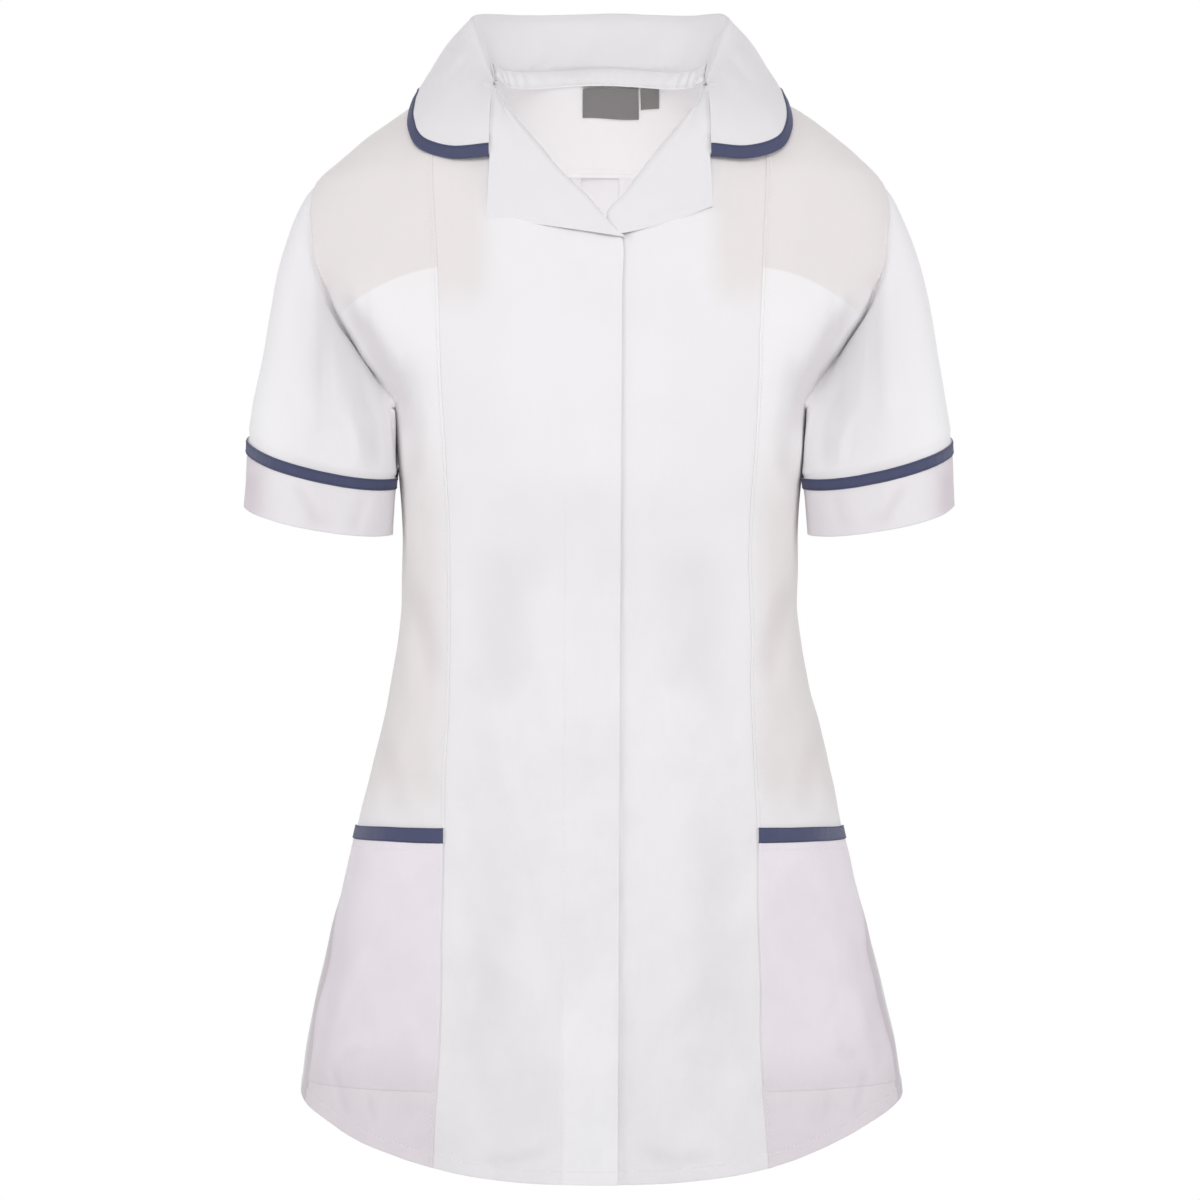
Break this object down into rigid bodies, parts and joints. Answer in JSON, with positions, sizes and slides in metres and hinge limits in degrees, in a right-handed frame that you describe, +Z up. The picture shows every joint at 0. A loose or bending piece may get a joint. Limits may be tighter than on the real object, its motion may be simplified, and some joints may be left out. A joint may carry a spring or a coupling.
{
  "type": "round collar tunic",
  "caption": "Short-sleeved front-opening tunic with a flat round collar, turned-out reveres, princess seams, turned-back cuffs and trimmed hip pockets, filled out as it is worn.",
  "frame": {"origin": "midway between the two side neck points, at the tops of the shoulder seams, where the wearer's shoulders hold it", "axes": "+Z up, the front faces -Y, the wearer's left is +X"},
  "size_m": [0.4788, 0.2621, 0.774],
  "materials": {
    "white_cloth": "matte woven polyester and cotton, white",
    "pocket_cloth": "the same white cloth, which looks faintly mauve where it lies double",
    "blue_trim": "matte mid-blue twill",
    "grey_tag": "matte woven tape, grey"
  },
  "bodies": {
    "root": {"front_right": "white_cloth", "front_left": "white_cloth", "back_yoke": "white_cloth", "back": "white_cloth", "collar": "white_cloth", "collar_trim": "blue_trim", "neck_strip": "white_cloth", "side_front_right": "white_cloth", "revere_right": "white_cloth", "sleeve_right": "white_cloth", "cuff_right": "white_cloth", "cuff_trim_right": "blue_trim", "pocket_right": "pocket_cloth", "pocket_trim_right": "blue_trim", "side_front_left": "white_cloth", "revere_left": "white_cloth", "sleeve_left": "white_cloth", "cuff_left": "white_cloth", "cuff_trim_left": "blue_trim", "pocket_left": "pocket_cloth", "pocket_trim_left": "blue_trim", "neck_label": "grey_tag", "size_tab": "grey_tag"}
  },
  "joints": []
}
